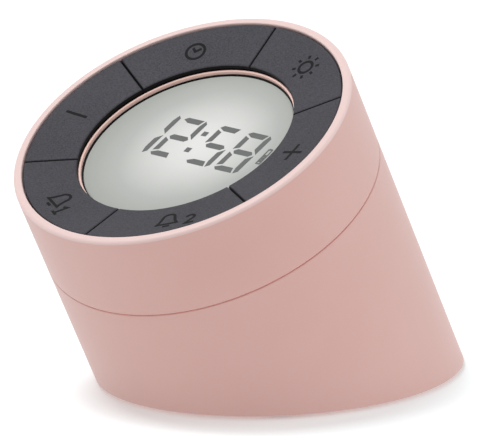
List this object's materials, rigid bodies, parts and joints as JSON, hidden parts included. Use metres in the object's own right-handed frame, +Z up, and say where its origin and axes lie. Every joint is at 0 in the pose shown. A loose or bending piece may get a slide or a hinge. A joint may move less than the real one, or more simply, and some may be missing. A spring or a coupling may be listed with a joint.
{
  "type": "alarm clock",
  "caption": "Tilted round digital alarm clock: a slant-cut cylinder with a dished ring of press keys round a recessed display, and a hinged battery door underneath.",
  "frame": {"origin": "on the table, in the middle of the bounding box's bottom", "axes": "+Z up, -Y toward the user and along the lean of the body, +X to the user's right"},
  "size_m": [0.08, 0.114, 0.0821],
  "materials": {
    "shell": "soft-touch matt pink",
    "base": "moulded matt pink",
    "feet": "matt",
    "metal": "nickel plated",
    "frame": "matt black",
    "display": "anti-glare polariser",
    "clear": "clear acrylic",
    "white": "white film",
    "led": "moulded",
    "zebra": "matt",
    "board": "solder mask",
    "chip": "epoxy",
    "buzzer": "moulded",
    "connector": "moulded",
    "cell": "plain sleeve",
    "lead": "insulation",
    "key": "fine matt grain",
    "plunger": "moulded"
  },
  "bodies": {
    "clock_body": {"upper_housing": "shell", "lower_housing": "shell", "base_cover": "base", "rubber_feet": "feet", "switch_bodies": "metal", "display_frame": "frame", "lcd_panel": "display", "light_guide": "clear", "reflector_sheet": "white", "backlight_leds": "led", "zebra_strips": "zebra", "main_board": "board", "controller_chip": "chip", "crystal": "metal", "buzzer": "buzzer", "lead_connector": "connector", "board_screws": "metal", "housing_screws": "metal", "base_screws": "metal", "batteries": "cell", "battery_contacts": "metal", "battery_leads": "lead"},
    "plus_key": {"key_plus": "key", "plunger_plus": "plunger"},
    "light_key": {"key_light": "key", "plunger_light": "plunger"},
    "clock_key": {"key_clock": "key", "plunger_clock": "plunger"},
    "minus_key": {"key_minus": "key", "plunger_minus": "plunger"},
    "alarm_one_key": {"key_alarm_one": "key", "plunger_alarm_one": "plunger"},
    "alarm_two_key": {"key_alarm_two": "key", "plunger_alarm_two": "plunger"},
    "door": {"battery_door": "base"}
  },
  "joints": [
    {"name": "plus_press", "type": "slide", "parent": "clock_body", "child": "plus_key", "axis": [0, 0.4741, -0.8805], "range_m": [0, 0.0004], "stiffness_N_per_m": 600, "springref_m": -0.0005},
    {"name": "light_press", "type": "slide", "parent": "clock_body", "child": "light_key", "axis": [0, 0.4741, -0.8805], "range_m": [0, 0.0004], "stiffness_N_per_m": 600, "springref_m": -0.0005},
    {"name": "clock_press", "type": "slide", "parent": "clock_body", "child": "clock_key", "axis": [0, 0.4741, -0.8805], "range_m": [0, 0.0004], "stiffness_N_per_m": 600, "springref_m": -0.0005},
    {"name": "minus_press", "type": "slide", "parent": "clock_body", "child": "minus_key", "axis": [0, 0.4741, -0.8805], "range_m": [0, 0.0004], "stiffness_N_per_m": 600, "springref_m": -0.0005},
    {"name": "alarm_one_press", "type": "slide", "parent": "clock_body", "child": "alarm_one_key", "axis": [0, 0.4741, -0.8805], "range_m": [0, 0.0004], "stiffness_N_per_m": 600, "springref_m": -0.0005},
    {"name": "alarm_two_press", "type": "slide", "parent": "clock_body", "child": "alarm_two_key", "axis": [0, 0.4741, -0.8805], "range_m": [0, 0.0004], "stiffness_N_per_m": 600, "springref_m": -0.0005},
    {"name": "door_hinge", "type": "hinge", "parent": "clock_body", "child": "door", "pos_m": [0, 0.02609, 0.0026], "axis": [1, 0, 0], "range_deg": [0, 80]}
  ]
}
